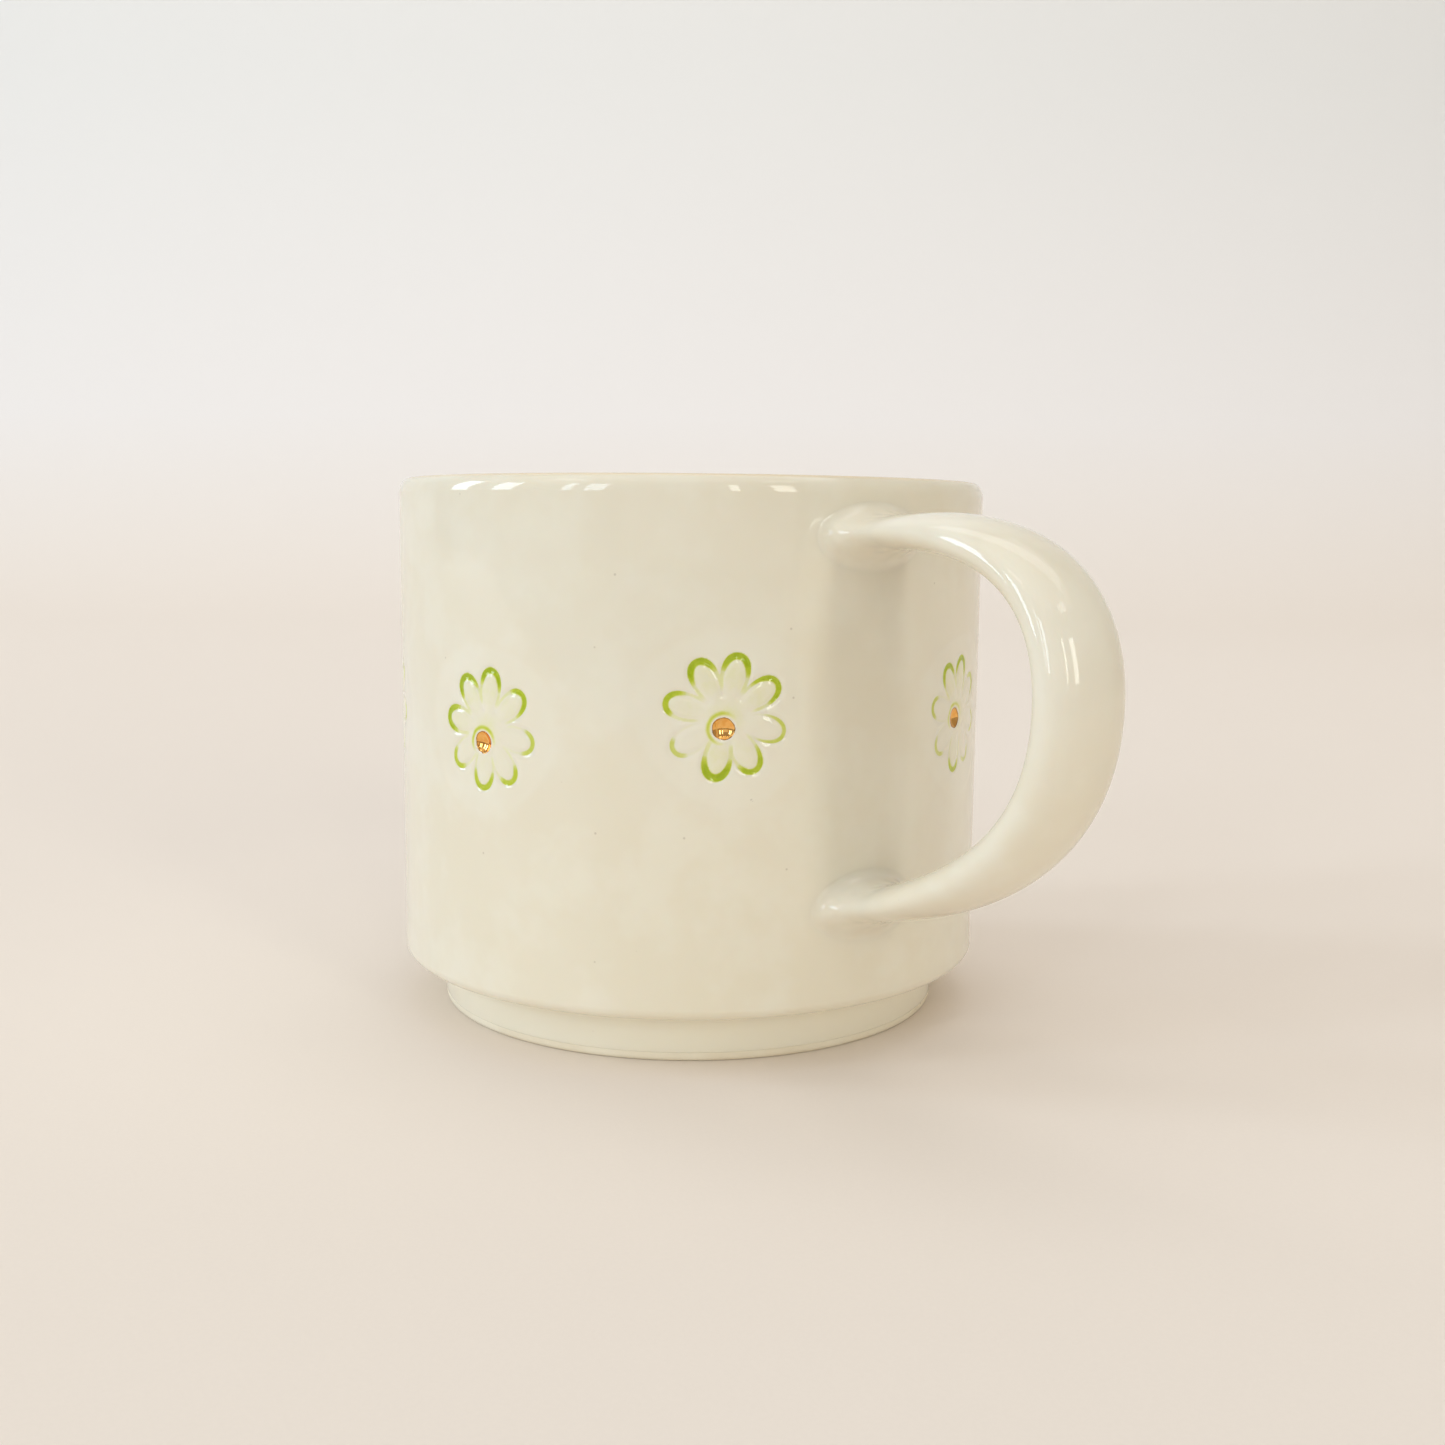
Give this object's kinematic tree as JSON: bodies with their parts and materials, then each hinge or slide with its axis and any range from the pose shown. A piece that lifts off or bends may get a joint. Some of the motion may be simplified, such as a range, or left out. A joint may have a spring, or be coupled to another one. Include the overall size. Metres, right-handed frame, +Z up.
{
  "type": "stoneware mug",
  "caption": "Straight-sided glazed stoneware mug on a stepped foot ring, with a loop handle luted to the wall and a row of stamped green flowers with gold centres.",
  "frame": {"origin": "centre of the foot ring's bearing face, on the cup's axis, at table height", "axes": "+Z up along the cup's axis; +X from the cup's axis towards the handle"},
  "size_m": [0.1284, 0.088, 0.0785],
  "materials": {
    "clay": "fired pale stoneware clay, matt, bare only under the foot",
    "glaze": "glossy clear ivory glaze with fine specks",
    "underglaze": "yellow-green underglaze pooled in stamped lines under the glaze",
    "gold": "bright gold lustre, polished"
  },
  "bodies": {
    "root": {"cup_body": "clay", "outside_glaze": "glaze", "inside_glaze": "glaze", "handle": "clay", "upper_handle_joint": "clay", "lower_handle_joint": "clay", "handle_glaze": "glaze", "flower_1_underglaze": "underglaze", "flower_2_underglaze": "underglaze", "flower_3_underglaze": "underglaze", "flower_4_underglaze": "underglaze", "flower_5_underglaze": "underglaze", "flower_6_underglaze": "underglaze", "flower_7_underglaze": "underglaze", "flower_8_underglaze": "underglaze", "flower_1_gold": "gold", "flower_2_gold": "gold", "flower_3_gold": "gold", "flower_4_gold": "gold", "flower_5_gold": "gold", "flower_6_gold": "gold", "flower_7_gold": "gold", "flower_8_gold": "gold"}
  },
  "joints": []
}
